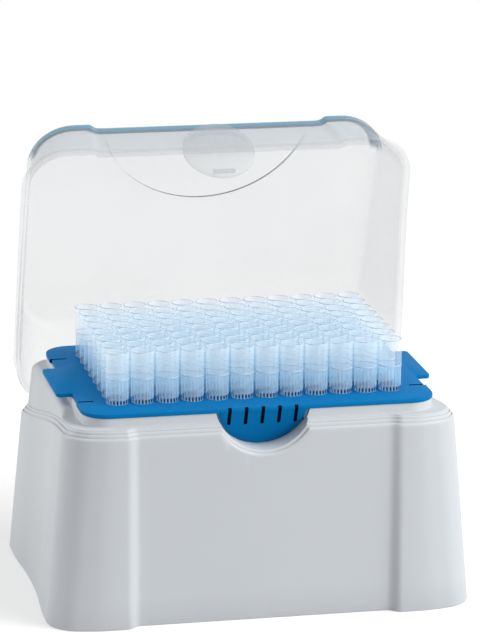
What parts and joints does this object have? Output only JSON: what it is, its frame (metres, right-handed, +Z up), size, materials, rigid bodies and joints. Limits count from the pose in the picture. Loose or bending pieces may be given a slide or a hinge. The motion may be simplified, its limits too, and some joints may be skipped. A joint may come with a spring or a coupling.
{
  "type": "pipette tip box",
  "caption": "Hinged laboratory box with a grey base, a clear lid, a blue carrier plate and a full grid of pipette tips standing in it.",
  "frame": {"origin": "middle of the tip grid on the surface that the box stands on", "axes": "+X along the long side, +Y towards the hinge at the back, +Z up; the front with the thumb recess faces -Y"},
  "size_m": [0.154, 0.1449, 0.1599],
  "materials": {
    "grey_plastic": "satin moulded polypropylene",
    "blue_plastic": "satin moulded polypropylene",
    "clear_lid": "thin clear polypropylene, slightly milky",
    "tip_plastic": "clear natural polypropylene"
  },
  "bodies": {
    "base": {"base": "grey_plastic", "tip_plate": "blue_plastic", "tips_column_01": "tip_plastic", "tips_column_02": "tip_plastic", "tips_column_03": "tip_plastic", "tips_column_04": "tip_plastic", "tips_column_05": "tip_plastic", "tips_column_06": "tip_plastic", "tips_column_07": "tip_plastic", "tips_column_08": "tip_plastic", "tips_column_09": "tip_plastic", "tips_column_10": "tip_plastic", "tips_column_11": "tip_plastic", "tips_column_12": "tip_plastic"},
    "lid": {"lid": "clear_lid"}
  },
  "joints": [
    {"name": "lid_hinge", "type": "hinge", "parent": "base", "child": "lid", "pos_m": [0, 0.05, 0.0537], "axis": [1, 0, 0], "range_deg": [0, 67]}
  ]
}
